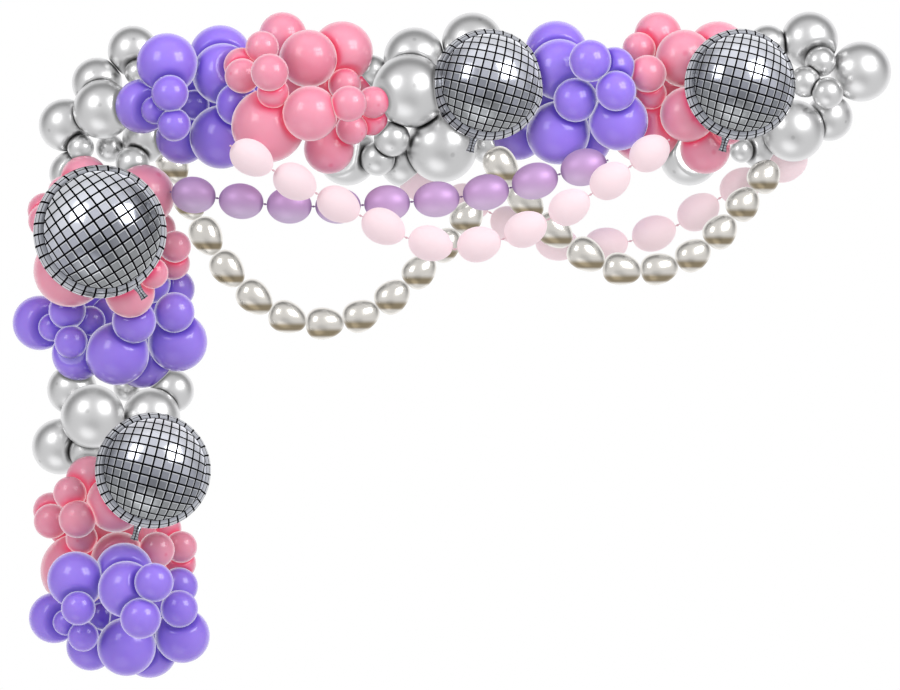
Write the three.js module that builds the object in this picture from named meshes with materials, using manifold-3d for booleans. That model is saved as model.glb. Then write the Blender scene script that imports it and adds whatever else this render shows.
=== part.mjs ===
// A corner balloon garland: bunches of latex balloons along a top run and down a column,
// four mirror-ball foil balloons in front of them, and five strands of link balloons below.
// Millimetres. X runs right, Z up, and the wall that the garland hangs on is the plane y = 0:
// everything lies in front of it, at negative y, and "out" is how far it stands off the wall.
// The origin is the middle of the flat patch where the corner balloon presses on the wall.
import * as THREE from "three";
import { mergeVertices } from "three/addons/utils/BufferGeometryUtils.js";
import Module from "manifold-3d";

const wasm = await Module();
wasm.setup();

// Driving dimensions.
const SQUEEZE = 0.88; // balloons that touch have their centres at this share of their radii apart
const PULL_BACK = 0.75; // and their ties pull the outer one this much nearer to the wall
const OUTER_GIVES = 0.25; // where one overlaps another right behind it, the share that it gives up
const WALL_PRESS = 10; // how far a balloon is pressed flat against the wall
const HIDDEN = 0.9; // a balloon that others cover by this share is not there
const GAP = 0.3; // between pieces that touch
const NECK = { long: 62, wide: 30, thick: 10, inside: 12, tilt: 35 }; // a foil ball's filling neck
const MOST = 6; // balloons joined in one solid, where so many touch
const FEWEST = 3;
const TOUCH_REACH = 24; // balloons nearer than this are cut where their faceted corners would meet
const TOUCHING = 50; // cubic millimetres that two balloons share where they press on each other
const KNOT = 6; // radius of the tied necks between two link balloons
const TIED = 8; // how far one link's neck runs into the next
const UNTIED = 3; // and how far it stops short where the next link is another solid

// How a round thing is faceted, from its pole at the wall to its pole at the front. Its corners
// stand proud of the true ball by the swell, so that its flats are near it.
const COARSE = { sides: 6, steps: 3, swell: 1.1 }; // small balloons, and those on the wall
const FINE = { sides: 7, steps: 4, swell: 1.04 };
const FOIL = { sides: 12, steps: 8, swell: 1 };
const SMALL = 156; // a balloon under this diameter is blown from a 5 or 6 inch one
const LINK_SIDES = 5;

const FINISHES = {
  purple_latex: { color: 0x8a66dd, roughness: 0.22, metalness: 0 },
  pink_latex: { color: 0xf79ab4, roughness: 0.25, metalness: 0 },
  silver_latex: { color: 0xc6c6c6, roughness: 0.25, metalness: 1 },
  mirror_foil: { color: 0xb9bdc2, roughness: 0.15, metalness: 1 },
  lavender_pearl: { color: 0xc2a2ce, roughness: 0.35, metalness: 0 },
  pale_pink_latex: { color: 0xf6dfe4, roughness: 0.4, metalness: 0 },
  champagne_chrome: { color: 0xb5afa4, roughness: 0.25, metalness: 1 },
};

// A bunch is a list of foursomes, and a balloon in one is [across, up, diameter, layer] from
// the bunch's middle. Layer 0 goes on the wall first, layer 1 over it, and layer 2 on top.
// A heart balloon is tied in on the wall behind the others, and closes a gap between them.
const HEART = -1;
const PURPLE_BUNCH = [
  [[-249, -23, 190, 0], [-163, 124, 212, 1], [-203, -38, 98, 2], [-151, 19, 128, 2]],
  [[18, 153, 218, 0], [29, 90, 212, 1], [-71, -17, 105, 1], [84, -17, 153, 2]],
  [[219, 95, 142, 0], [233, -89, 206, 1], [223, 13, 140, 2], [134, 117, 146, 2]],
  [[107, -144, 212, 0], [24, -130, 220, 1], [-114, -131, 184, 0], [-137, -89, 115, 2]],
  [[0, -20, 200, HEART]],
];
const PINK_BUNCH = [
  [[-236, 109, 135, 0], [-233, 69, 131, 1], [-159, 176, 124, 1], [-129, 79, 140, 2]],
  [[138, 164, 232, 0], [-86, 225, 180, 0], [11, 138, 216, 1], [148, 41, 123, 1]],
  [[-136, -117, 276, 0], [89, -201, 188, 0], [22, -73, 207, 1], [-117, 6, 120, 1]],
  [[248, -90, 124, 0], [176, -128, 117, 1], [255, -28, 120, 1], [166, -37, 134, 2]],
  [[75, 30, 190, HEART], [125, -110, 150, HEART]],
];
const CORNER_BUNCH = [
  [[0, 0, 190, 0], [135, 120, 190, 0], [154, 38, 98, 1]],
  [[-120, -159, 198, 0], [24, -101, 223, 1], [-60, -245, 100, 1]],
  [[185, -210, 180, 0], [-95, -341, 170, 0], [135, -304, 128, 0], [47, -245, 107, 1]],
];
const MIDDLE_BUNCH = [
  [[-21, 160, 232, 0], [197, 216, 232, 0], [-181, 109, 128, 0], [-40, 34, 278, 1]],
  [[257, -173, 128, 0], [82, -174, 267, 1], [-105, -144, 135, 2]],
  [[-62, -233, 180, 0], [-274, -206, 225, 0], [-159, -218, 130, 1]],
];
const END_BUNCH = [
  [[-36, 209, 215, 0], [-194, 191, 150, 0], [4, 127, 115, 2]],
  [[158, 91, 226, 0], [39, -81, 176, 0], [-54, 51, 118, 2], [29, 8, 118, 2]],
  [[-97, -132, 232, 1], [-219, -203, 142, 0], [-291, -207, 90, 0]],
  [[-488, -225, 225, 0]],
];
const COLUMN_BUNCH = [
  [[-146, 114, 188, 0], [-192, -100, 209, 0], [-65, 14, 240, 1], [-90, -120, 130, 0]],
  [[230, 109, 165, 0], [153, 11, 218, 1], [58, 120, 98, 0]],
];

// Where each bunch hangs, how large it is blown, and its turn: one of a later turn goes up
// after the others and lies over them.
const BUNCHES = [
  { name: "corner_silver", plan: CORNER_BUNCH, finish: "silver_latex", at: [0, 0], scale: 1, turn: 0 },
  { name: "middle_silver", plan: MIDDLE_BUNCH, finish: "silver_latex", at: [1215, -68], scale: 1, turn: 0 },
  { name: "end_silver", plan: END_BUNCH, finish: "silver_latex", at: [2715, -49], scale: 1, turn: 0 },
  { name: "column_silver", plan: COLUMN_BUNCH, finish: "silver_latex", at: [52, -1268], scale: 1, turn: 0 },
  { name: "foot_pink", plan: PINK_BUNCH, finish: "pink_latex", at: [62, -1717], scale: 1, turn: 1 },
  { name: "right_pink", plan: PINK_BUNCH, finish: "pink_latex", at: [2196, -49], scale: 1, turn: 1 },
  { name: "left_purple", plan: PURPLE_BUNCH, finish: "purple_latex", at: [444, -66], scale: 1.08, turn: 2 },
  { name: "right_purple", plan: PURPLE_BUNCH, finish: "purple_latex", at: [1707, -50], scale: 1.08, turn: 2 },
  { name: "column_purple", plan: PURPLE_BUNCH, finish: "purple_latex", at: [54, -878], scale: 1.08, turn: 2 },
  { name: "foot_purple", plan: PURPLE_BUNCH, finish: "purple_latex", at: [90, -1988], scale: 1, turn: 2 },
  { name: "left_pink", plan: PINK_BUNCH, finish: "pink_latex", at: [784, -49], scale: 1, turn: 3 },
  { name: "column_pink", plan: PINK_BUNCH, finish: "pink_latex", at: [41, -589], scale: 1, turn: 3 },
];

// The foil balls go up last. Each neck leans off straight down by some degrees, towards +X.
const FOIL_BALLS = [
  { name: "mirror_ball_upper_column", at: [22, -563], across: 498, lean: 34 },
  { name: "mirror_ball_middle", at: [1470, -11], across: 419, lean: -15 },
  { name: "mirror_ball_right", at: [2412, -12], across: 416, lean: -15 },
  { name: "mirror_ball_lower_column", at: [218, -1455], across: 433, lean: -15 },
];

// A strand hangs along a route of [right, up, out] points, from its first knot to its last. Where
// it has a pace, its links start longer than the length given, by that share, and end shorter.
// pieces says how many links each of the strand's solids holds.
const STRANDS = [
  {
    name: "pale_pink_strand_back", finish: "pale_pink_latex", long: 166, thick: 132, pieces: [4, 5],
    route: [[1129, -352, 74], [1388, -439, 74], [1560, -536, 74], [1740, -622, 74], [1928, -608, 74],
      [2104, -570, 74], [2265, -490, 74], [2415, -383, 74], [2678, -270, 74]],
  },
  {
    name: "champagne_strand_left", finish: "champagne_chrome", long: 130, thick: 121, pieces: [4, 4, 5],
    pace: 0.095,
    route: [[255, -236, 60], [341, -431, 110], [488, -701, 180], [720, -893, 190], [990, -885, 190],
      [1211, -713, 190], [1395, -503, 188], [1508, -349, 150]],
  },
  {
    name: "champagne_strand_right", finish: "champagne_chrome", long: 130, thick: 121, pieces: [5, 5],
    pace: 0.12,
    route: [[1479, -251, 210], [1609, -446, 190], [1714, -555, 190], [1957, -709, 190],
      [2228, -664, 190], [2422, -465, 190], [2546, -300, 180]],
  },
  {
    name: "lavender_strand", finish: "lavender_pearl", long: 172, thick: 136, pieces: [4, 5],
    pace: -0.035,
    route: [[278, -412, 300], [722, -465, 318], [1095, -456, 318], [1475, -414, 318], [1920, -294, 330]],
  },
  {
    name: "pale_pink_strand_front", finish: "pale_pink_latex", long: 168, thick: 132, pieces: [5, 5],
    pace: 0.045,
    route: [[508, -243, 640], [752, -381, 550], [917, -463, 480], [1086, -549, 455], [1258, -617, 455],
      [1432, -624, 455], [1598, -556, 455], [1772, -479, 455], [1914, -379, 455], [2148, -218, 430]],
  },
];

// The balls of a bunch, each with the solid it belongs to.
function bunchBalls({ name, plan, finish, at, scale, turn }) {
  return plan.flatMap((foursome) =>
    foursome.map(([across, up, diameter, layer]) => ({
      bunch: name,
      finish,
      x: at[0] + across * scale,
      z: at[1] + up * scale,
      radius: (diameter * scale) / 2,
      order: 10 * turn + layer,
      heart: layer === HEART,
      onWall: layer <= 0,
    })));
}

function foilBall({ name, at, across, lean }) {
  return {
    bunch: name,
    node: name,
    finish: "mirror_foil",
    x: at[0],
    z: at[1],
    radius: across / 2,
    order: Infinity,
    lean: THREE.MathUtils.degToRad(lean),
  };
}

// The share of a ball's face, seen from the front, that the balls in front of it cover.
function coveredShare(ball, front) {
  const RINGS = 4, SPOKES = 16;
  let covered = 0;
  for (let ring = 1; ring <= RINGS; ring++) {
    for (let spoke = 0; spoke < SPOKES; spoke++) {
      const angle = (2 * Math.PI * spoke) / SPOKES;
      const x = ball.x + (ball.radius * ring * Math.cos(angle)) / RINGS;
      const z = ball.z + (ball.radius * ring * Math.sin(angle)) / RINGS;
      if (front.some((other) => Math.hypot(x - other.x, z - other.z) < other.radius)) covered++;
    }
  }
  return covered / (RINGS * SPOKES);
}

function withoutHidden(balls) {
  return balls.filter((ball, index) => coveredShare(ball, balls.slice(index + 1)) < HIDDEN);
}

// How far off the wall a ball comes to lie: on the wall, or on the balls placed before it.
function settledOut(ball, placed) {
  let out = ball.radius - WALL_PRESS;
  for (const other of placed) {
    const reach = SQUEEZE * (ball.radius + other.radius);
    const apart = Math.hypot(ball.x - other.x, ball.z - other.z);
    if (apart < reach) out = Math.max(out, other.out + PULL_BACK * Math.sqrt(reach ** 2 - apart ** 2));
  }
  return out;
}

function settledBalls() {
  const all = [...BUNCHES.flatMap(bunchBalls), ...FOIL_BALLS.map(foilBall)];
  const hearts = all.filter(({ heart }) => heart);
  const balls = all.filter(({ heart }) => !heart).sort((a, b) => a.order - b.order);
  const placed = [];
  for (const ball of withoutHidden(balls)) {
    ball.out = settledOut(ball, placed);
    placed.push(ball);
  }
  for (const ball of hearts) ball.out = settledOut(ball, []);
  const settled = [...placed, ...hearts];
  for (const ball of settled) ball.centre = new THREE.Vector3(ball.x, -ball.out, ball.z);
  return settled;
}

// three.js geometry to a manifold-3d solid, and back.
function solidOf(geometry) {
  const bare = new THREE.BufferGeometry();
  bare.setAttribute("position", geometry.getAttribute("position"));
  if (geometry.index) bare.setIndex(geometry.index);
  const merged = mergeVertices(bare, 1e-3);
  return new wasm.Manifold(new wasm.Mesh({
    numProp: 3,
    vertProperties: merged.getAttribute("position").array,
    triVerts: new Uint32Array(merged.index.array),
  }));
}

function geometryOf(solid) {
  const { numProp, vertProperties, triVerts } = solid.getMesh();
  const corners = new Float32Array(triVerts.length * 3);
  triVerts.forEach((vertex, i) => {
    corners.set(vertProperties.subarray(vertex * numProp, vertex * numProp + 3), 3 * i);
  });
  const geometry = new THREE.BufferGeometry();
  geometry.setAttribute("position", new THREE.BufferAttribute(corners, 3));
  geometry.computeVertexNormals();
  return geometry;
}

// Keeps the part of a solid that is behind a plane: the side its normal points away from.
const UP_TO_WALL = new THREE.Vector3(0, 1, 0);
function cutBehind(solid, normal, offset) {
  return solid.trimByPlane([-normal.x, -normal.y, -normal.z], -offset);
}

// A round balloon as it is before it presses on anything but the wall.
function looseBall(ball) {
  return cutBehind(solidOf(ballGeometry(ball).translate(...ball.centre)), UP_TO_WALL, 0);
}

// How far a balloon reaches from its centre in some direction: a link is longer than it is thick.
function reachTowards({ radius, long, thick, heading }, direction) {
  if (radius) return radius;
  const along = direction.dot(heading) ** 2;
  return 1 / Math.sqrt(along / (long / 2) ** 2 + (1 - along) / (thick / 2) ** 2);
}

// A balloon, flat where it presses on those of other solids.
function pressedSolid(balloon, balloons) {
  let solid = balloon.loose;
  for (const other of balloons) {
    if (other.bunch === balloon.bunch && (balloon.heading || other.node === balloon.node)) continue;
    const between = other.centre.clone().sub(balloon.centre);
    const distance = between.length();
    const normal = between.divideScalar(distance);
    const own = reachTowards(balloon, normal);
    const overlap = own + reachTowards(other, normal) - distance;
    if (overlap < -TOUCH_REACH) continue;
    const given = 0.5 - (0.5 - OUTER_GIVES) * normal.y;
    const toContact = own - given * overlap - GAP / 2;
    solid = cutBehind(solid, normal, normal.dot(balloon.centre) + toContact);
  }
  return balloon.lean === undefined ? solid : solid.add(neckSolid(balloon));
}

// Shares out the balloons of a bunch between solids of balloons that really touch.
function shareOut(members, name) {
  const touching = (a, b) => a.loose.intersect(b.loose).volume() > TOUCHING;
  const free = new Set(members);
  const pieces = [];
  for (const seed of members) {
    if (!free.delete(seed)) continue;
    const piece = [seed];
    for (const member of piece) {
      for (const other of free) {
        if (piece.length === MOST || !touching(member, other)) continue;
        piece.push(other);
        free.delete(other);
      }
    }
    const wider = pieces.find((earlier) => piece.length < FEWEST
      && earlier.some((member) => touching(member, seed)));
    if (wider) wider.push(...piece);
    else pieces.push(piece);
  }
  pieces.forEach((piece, index) => {
    for (const ball of piece) ball.node = `${name}_${index + 1}`;
  });
}

function facetingOf({ radius, lean, onWall }) {
  if (lean !== undefined) return FOIL;
  return onWall || 2 * radius < SMALL ? COARSE : FINE;
}

function ballGeometry(ball) {
  const { sides, steps, swell } = facetingOf(ball);
  return new THREE.SphereGeometry(ball.radius * swell, sides, steps);
}

// A foil ball's flat filling neck, which lies over the balloons under it and so tilts outwards.
function neckSolid({ radius, lean, centre }) {
  const neck = new THREE.BoxGeometry(NECK.wide, NECK.thick, NECK.long + NECK.inside);
  neck.translate(0, 0, -(NECK.long - NECK.inside) / 2);
  neck.rotateX(-THREE.MathUtils.degToRad(NECK.tilt)).translate(0, 0, -radius).rotateY(-lean);
  neck.translate(...centre);
  return solidOf(neck);
}

// One link balloon, lathed round its own axis, with half of the tied neck at each end.
function linkGeometry({ long, thick, apart, reach }) {
  const radius = 0.47 * thick, belly = 0.2 * long;
  const profile = [
    [0, -apart / 2], [KNOT, -apart / 2], [radius, -belly], [radius, belly],
    [KNOT, apart / 2 + reach], [0, apart / 2 + reach],
  ];
  const points = profile.map(([r, along]) => new THREE.Vector2(r, along));
  return new THREE.LatheGeometry(points, LINK_SIDES);
}

// The links of a strand, each tied between two knots, and shared out between its solids.
function strandLinks({ name, finish, long, thick, pieces, pace = 0, route }) {
  const curve = new THREE.CatmullRomCurve3(route.map(([x, z, out]) => new THREE.Vector3(x, -out, z)));
  const owners = pieces.flatMap((count, index) => Array(count).fill(`${name}_${index + 1}`));
  const usual = curve.getLength() / owners.length;
  const shares = Array.from({ length: owners.length + 1 }, (_, index) => index / owners.length);
  const knots = shares.map((share) => curve.getPointAt(share + pace * share * (1 - share)));
  return owners.map((node, index) => {
    const [from, to] = [knots[index], knots[index + 1]];
    const apart = from.distanceTo(to);
    return {
      bunch: name, node, finish, thick, apart,
      long: long * apart / usual,
      centre: from.clone().lerp(to, 0.5),
      heading: to.clone().sub(from).normalize(),
      reach: owners[index + 1] === node ? TIED : -UNTIED,
    };
  });
}

function looseLink(link) {
  const turn = new THREE.Quaternion().setFromUnitVectors(new THREE.Vector3(0, 1, 0), link.heading);
  const geometry = linkGeometry(link).applyQuaternion(turn).translate(...link.centre);
  return cutBehind(solidOf(geometry), UP_TO_WALL, 0);
}

function meshOf(node, finish, solid) {
  const mesh = new THREE.Mesh(geometryOf(solid), new THREE.MeshStandardMaterial(FINISHES[finish]));
  mesh.name = node;
  return mesh;
}

// Joins what belongs to one node: a solid, and the finish it is made in.
function joinInto(nodes, { node, finish }, solid) {
  const held = nodes.get(node);
  nodes.set(node, { finish, solid: held ? held.solid.add(solid) : solid });
}

const balls = settledBalls();
for (const ball of balls) ball.loose = looseBall(ball);
for (const { name } of BUNCHES) shareOut(balls.filter((ball) => ball.bunch === name), name);

const links = STRANDS.flatMap(strandLinks);
for (const link of links) link.loose = looseLink(link);

const nodes = new Map();
const balloons = [...balls, ...links];
for (const balloon of balloons) joinInto(nodes, balloon, pressedSolid(balloon, balloons));

const garland = new THREE.Group();
for (const [name, { finish, solid }] of nodes) garland.add(meshOf(name, finish, solid));
export default garland;
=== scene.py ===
# %% [markdown]
# # A corner balloon garland
#
# This lesson dresses a garland of balloons that turns down a left-hand corner. Its pieces are
# twelve bunches of latex balloons, four foil mirror balls and five strands of link balloons.
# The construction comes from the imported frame, which this script loads first: everything here
# is in metres, X to the right, Z up, and the wall is the plane y = 0. The garland hangs in
# front of it, at negative y.

# %% Load the frame
import math

import bmesh
import bpy
import numpy as np
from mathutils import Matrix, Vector


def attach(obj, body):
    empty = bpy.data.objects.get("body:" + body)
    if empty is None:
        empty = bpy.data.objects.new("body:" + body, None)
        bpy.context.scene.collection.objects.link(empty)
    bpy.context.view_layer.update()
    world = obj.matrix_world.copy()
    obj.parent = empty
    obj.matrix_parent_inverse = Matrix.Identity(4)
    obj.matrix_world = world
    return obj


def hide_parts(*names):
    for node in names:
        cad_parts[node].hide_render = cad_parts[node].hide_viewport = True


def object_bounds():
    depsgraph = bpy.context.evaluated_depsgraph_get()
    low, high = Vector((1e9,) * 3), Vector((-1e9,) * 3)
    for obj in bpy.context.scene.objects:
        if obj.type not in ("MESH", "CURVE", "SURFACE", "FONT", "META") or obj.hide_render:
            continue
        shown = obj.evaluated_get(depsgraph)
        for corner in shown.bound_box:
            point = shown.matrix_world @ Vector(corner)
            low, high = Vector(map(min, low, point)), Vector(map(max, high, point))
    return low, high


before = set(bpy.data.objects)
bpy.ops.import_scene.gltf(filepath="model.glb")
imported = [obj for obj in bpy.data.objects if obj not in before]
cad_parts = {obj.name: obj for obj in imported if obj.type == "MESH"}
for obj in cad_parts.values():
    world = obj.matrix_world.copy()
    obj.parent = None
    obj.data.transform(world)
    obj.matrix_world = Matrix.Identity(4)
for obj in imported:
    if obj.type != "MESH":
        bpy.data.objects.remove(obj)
CAD_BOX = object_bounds()
LOW, HIGH = CAD_BOX
print("frame:", len(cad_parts), "nodes, box", [round(v, 3) for v in (*LOW, *HIGH)])

# %% [markdown]
# ## Camera and studio
#
# The garland is seen straight from the front. A long lens from far away keeps the view almost
# parallel, so a balloon near the edge of the picture is as round as one in the middle.

# %% Camera
LENS_MM = 600
SENSOR_MM = 36
PICTURE_WIDTH = 3.375  # metres of garland across the picture
VIEW_CENTRE = Vector((1.3275, -0.25, -0.986))

camera_data = bpy.data.cameras.new("camera")
camera_data.lens = LENS_MM
camera_data.sensor_width = SENSOR_MM
camera_data.clip_end = 500
camera = bpy.data.objects.new("camera", camera_data)
camera.location = VIEW_CENTRE - Vector((0, PICTURE_WIDTH * LENS_MM / SENSOR_MM, 0))
camera.rotation_euler = (math.pi / 2, 0, 0)
bpy.context.scene.collection.objects.link(camera)
bpy.context.scene.camera = camera
bpy.context.scene.view_settings.view_transform = "Standard"
print("camera stands", round(-camera.location.y, 2), "m from the wall")

# %% [markdown]
# Chrome and foil show nothing but what is around them, so the studio matters as much as the
# finishes. It is white behind the garland, which gives each balloon its light rim, and dim
# overhead, which gives chrome its dark ring. A pale floor in front makes the low reflection in
# chrome. A softbox on the left and a window of four panes on the right make the pair of bright
# patches on the foil, and the window makes the highlights on latex.

# %% Wires: sums on sockets
class Wire:
    """An output socket. Arithmetic on it adds Math nodes to its tree."""

    def __init__(self, socket):
        self.socket = socket

    def math(self, operation, *values):
        node = self.socket.id_data.nodes.new("ShaderNodeMath")
        node.operation = operation
        for socket, value in zip(node.inputs, values):
            plug(socket, value)
        return Wire(node.outputs[0])

    def __add__(self, other):
        return self.math("ADD", self, other)

    def __sub__(self, other):
        return self.math("SUBTRACT", self, other)

    def __rsub__(self, other):
        return self.math("SUBTRACT", other, self)

    def __mul__(self, other):
        return self.math("MULTIPLY", self, other)

    def __truediv__(self, other):
        return self.math("DIVIDE", self, other)

    def __pow__(self, other):
        return self.math("POWER", self, other)

    __radd__ = __add__


def plug(socket, value):
    """Links a wire to an input, or sets the input to a plain value."""
    if isinstance(value, Wire):
        socket.id_data.links.new(value.socket, socket)
    else:
        socket.default_value = value


# %% One method for any node
def set_stops(ramp, stops):
    while len(ramp.elements) < len(stops):
        ramp.elements.new(0.5)
    for element, (position, colour) in zip(ramp.elements, stops):
        element.position = position
        element.color = (*colour, 1) if len(colour) == 3 else colour


class Tree:
    """A node tree, and one method that adds any node to it."""

    def __init__(self, tree):
        self.tree = tree

    def node(self, kind, settings=(), sockets=(), output=0):
        node = self.tree.nodes.new(kind)
        for name, value in dict(settings).items():
            if name == "stops":
                set_stops(node.color_ramp, value)
            else:
                setattr(node, name, value)
        for name, value in dict(sockets).items():
            plug(node.inputs[name], value)
        return Wire(node.outputs[output]) if node.outputs else None

    def between(self, start, end, value):
        """0 up to start, 1 from end, and a smooth step between them."""
        sockets = {"Value": value, "From Min": start, "From Max": end}
        return self.node("ShaderNodeMapRange", {"interpolation_type": "SMOOTHSTEP"}, sockets)

    def blend(self, factor, first, second):
        """One colour over another, by a factor."""
        sockets = {0: factor, 6: first, 7: second}
        return self.node("ShaderNodeMix", {"data_type": "RGBA"}, sockets, 2)


def srgb(text):
    """A colour written as RRGGBB, in the linear light that shaders use."""
    shares = [int(text[i:i + 2], 16) / 255 for i in (0, 2, 4)]
    return tuple(s / 12.92 if s <= 0.04045 else ((s + 0.055) / 1.055) ** 2.4 for s in shares)


def rgba(text):
    return (*srgb(text), 1)


# %% The studio's walls
BACKGROUND = rgba("FFFFFF")
studio = bpy.data.worlds.new("studio")
studio.use_nodes = True
studio.node_tree.nodes.clear()
bpy.context.scene.world = studio
around = Tree(studio.node_tree)

towards = around.node("ShaderNodeTexCoord", output="Generated")
split = around.node("ShaderNodeSeparateXYZ", sockets={0: towards}).socket.node
depth_wise, height_wise = Wire(split.outputs[1]), Wire(split.outputs[2])


def patch(direction, inner, outer):
    """1 within some degrees of a direction, falling to 0 further off."""
    aim = tuple(Vector(direction).normalized())
    facing = around.node("ShaderNodeVectorMath", {"operation": "DOT_PRODUCT"},
                         {0: towards, 1: aim}, output="Value")
    return around.between(math.cos(math.radians(outer)), math.cos(math.radians(inner)), facing)


dim_ring = around.between(-0.25, 0.20, depth_wise) * around.between(-0.55, 0.45, height_wise)
dim_skirting = patch((0.0, -0.82, -0.57), 8, 34)
pale_floor = patch((-0.25, -0.42, -0.87), 12, 30)
white_wall = around.between(0.42, 0.72, depth_wise)
walls = (1 - dim_ring * 0.66) * (1 - dim_skirting * 0.30) * 0.72 + pale_floor * 0.55
walls = walls * (1 - white_wall) + white_wall * 1.02
grey = around.node("ShaderNodeCombineColor", sockets={0: walls, 1: walls, 2: walls * 1.01})
seen = around.node("ShaderNodeLightPath", output="Is Camera Ray")
shown = around.blend(seen, grey, BACKGROUND)
backdrop = around.node("ShaderNodeBackground", sockets={"Color": shown, "Strength": 1.0})
around.node("ShaderNodeOutputWorld", sockets={"Surface": backdrop})
print("studio:", len(studio.node_tree.nodes), "nodes")


# %% Softboxes and the window
LIGHT_DISTANCE = 9


def softbox(name, towards_light, width, height, brightness):
    """A rectangular light in that direction from the garland's middle, facing it."""
    data = bpy.data.lights.new(name, "AREA")
    data.shape = "RECTANGLE"
    data.size, data.size_y = width, height
    data.energy = brightness * math.pi * width * height
    light = bpy.data.objects.new(name, data)
    direction = Vector(towards_light).normalized()
    light.location = VIEW_CENTRE + direction * LIGHT_DISTANCE
    light.rotation_euler = direction.to_track_quat("Z", "Y").to_euler()
    light.visible_camera = False
    bpy.context.scene.collection.objects.link(light)
    return light


WINDOW_TOWARDS = (0.60, -0.60, 0.53)
PANE, PANE_GAP = 2.3, 0.25
softbox("left_softbox", (-0.62, -0.60, 0.50), 3.2, 4.2, 3.0)
ceiling = softbox("ceiling_softbox", (-0.05, -0.20, 0.98), 6.0, 4.0, 1.8)
ceiling.visible_glossy = False  # it lightens the tops of the balloons, and isn't mirrored
for row in (-1, 1):
    for column in (-1, 1):
        pane = softbox(f"window_{row}_{column}", WINDOW_TOWARDS, PANE, PANE, 5.2)
        offset = Vector((column, row, 0)) * (PANE + PANE_GAP) / 2
        offset.rotate(pane.rotation_euler)
        pane.location += offset
print(len(bpy.data.lights), "lights")

# %% [markdown]
# ## Where each balloon lies
#
# A garland is tied up in turns: silver bunches first, then pink, then purple, then two more
# pink ones. In a bunch, layer 0 lies on the wall, and layers 1 and 2 over it. A heart balloon
# is tied in on the wall behind the others, and closes a gap between them. Each balloon is
# (across, up, diameter, layer) from its bunch's middle, and how far it stands off the wall
# follows from what it lies on. The frame was built by the same rule, so the pieces made here
# fall exactly on the frame's solids.

# %% The bunches' plans
HEART = -1
PURPLE_BUNCH = [
    (-0.249, -0.023, 0.190, 0), (-0.163, 0.124, 0.212, 1),
    (-0.203, -0.038, 0.098, 2), (-0.151, 0.019, 0.128, 2),
    (0.018, 0.153, 0.218, 0), (0.029, 0.090, 0.212, 1),
    (-0.071, -0.017, 0.105, 1), (0.084, -0.017, 0.153, 2),
    (0.219, 0.095, 0.142, 0), (0.233, -0.089, 0.206, 1),
    (0.223, 0.013, 0.140, 2), (0.134, 0.117, 0.146, 2),
    (0.107, -0.144, 0.212, 0), (0.024, -0.130, 0.220, 1),
    (-0.114, -0.131, 0.184, 0), (-0.137, -0.089, 0.115, 2), (0.000, -0.020, 0.200, HEART),
    (-0.085, 0.060, 0.150, HEART), (0.150, 0.030, 0.150, HEART),
]
PINK_BUNCH = [
    (-0.236, 0.109, 0.135, 0), (-0.233, 0.069, 0.131, 1),
    (-0.159, 0.176, 0.124, 1), (-0.129, 0.079, 0.140, 2),
    (0.138, 0.164, 0.232, 0), (-0.086, 0.225, 0.180, 0),
    (0.011, 0.138, 0.216, 1), (0.148, 0.041, 0.123, 1),
    (-0.136, -0.117, 0.276, 0), (0.089, -0.201, 0.188, 0),
    (0.022, -0.073, 0.207, 1), (-0.117, 0.006, 0.120, 1),
    (0.248, -0.090, 0.124, 0), (0.176, -0.128, 0.117, 1),
    (0.255, -0.028, 0.120, 1), (0.166, -0.037, 0.134, 2),
    (0.075, 0.030, 0.190, HEART), (0.125, -0.110, 0.150, HEART),
    (-0.060, 0.030, 0.170, HEART), (-0.180, 0.040, 0.130, HEART), (0.190, 0.040, 0.130, HEART),
]
CORNER_BUNCH = [
    (0.000, 0.000, 0.190, 0), (0.135, 0.120, 0.190, 0), (0.154, 0.038, 0.098, 1),
    (-0.120, -0.159, 0.198, 0), (0.024, -0.101, 0.223, 1), (-0.060, -0.245, 0.100, 1),
    (0.185, -0.210, 0.180, 0), (-0.095, -0.341, 0.170, 0), (0.135, -0.304, 0.128, 0),
    (0.047, -0.245, 0.107, 1),
]
MIDDLE_BUNCH = [
    (-0.021, 0.160, 0.232, 0), (0.197, 0.216, 0.232, 0), (-0.181, 0.109, 0.128, 0),
    (-0.040, 0.034, 0.278, 1), (0.257, -0.173, 0.128, 0), (0.082, -0.174, 0.267, 1),
    (-0.105, -0.144, 0.135, 2), (-0.062, -0.233, 0.180, 0), (-0.274, -0.206, 0.225, 0),
    (-0.159, -0.218, 0.130, 1),
]
END_BUNCH = [
    (-0.036, 0.209, 0.215, 0), (-0.194, 0.191, 0.150, 0), (0.004, 0.127, 0.115, 2),
    (0.158, 0.091, 0.226, 0), (0.039, -0.081, 0.176, 0), (-0.054, 0.051, 0.118, 2),
    (0.029, 0.008, 0.118, 2), (-0.097, -0.132, 0.232, 1), (-0.219, -0.203, 0.142, 0),
    (-0.291, -0.207, 0.090, 0), (-0.488, -0.225, 0.225, 0),
]
COLUMN_BUNCH = [
    (-0.146, 0.114, 0.188, 0), (-0.192, -0.100, 0.209, 0), (-0.065, 0.014, 0.240, 1),
    (-0.090, -0.120, 0.130, 0), (0.230, 0.109, 0.165, 0), (0.153, 0.011, 0.218, 1),
    (0.058, 0.120, 0.098, 0),
]

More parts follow.
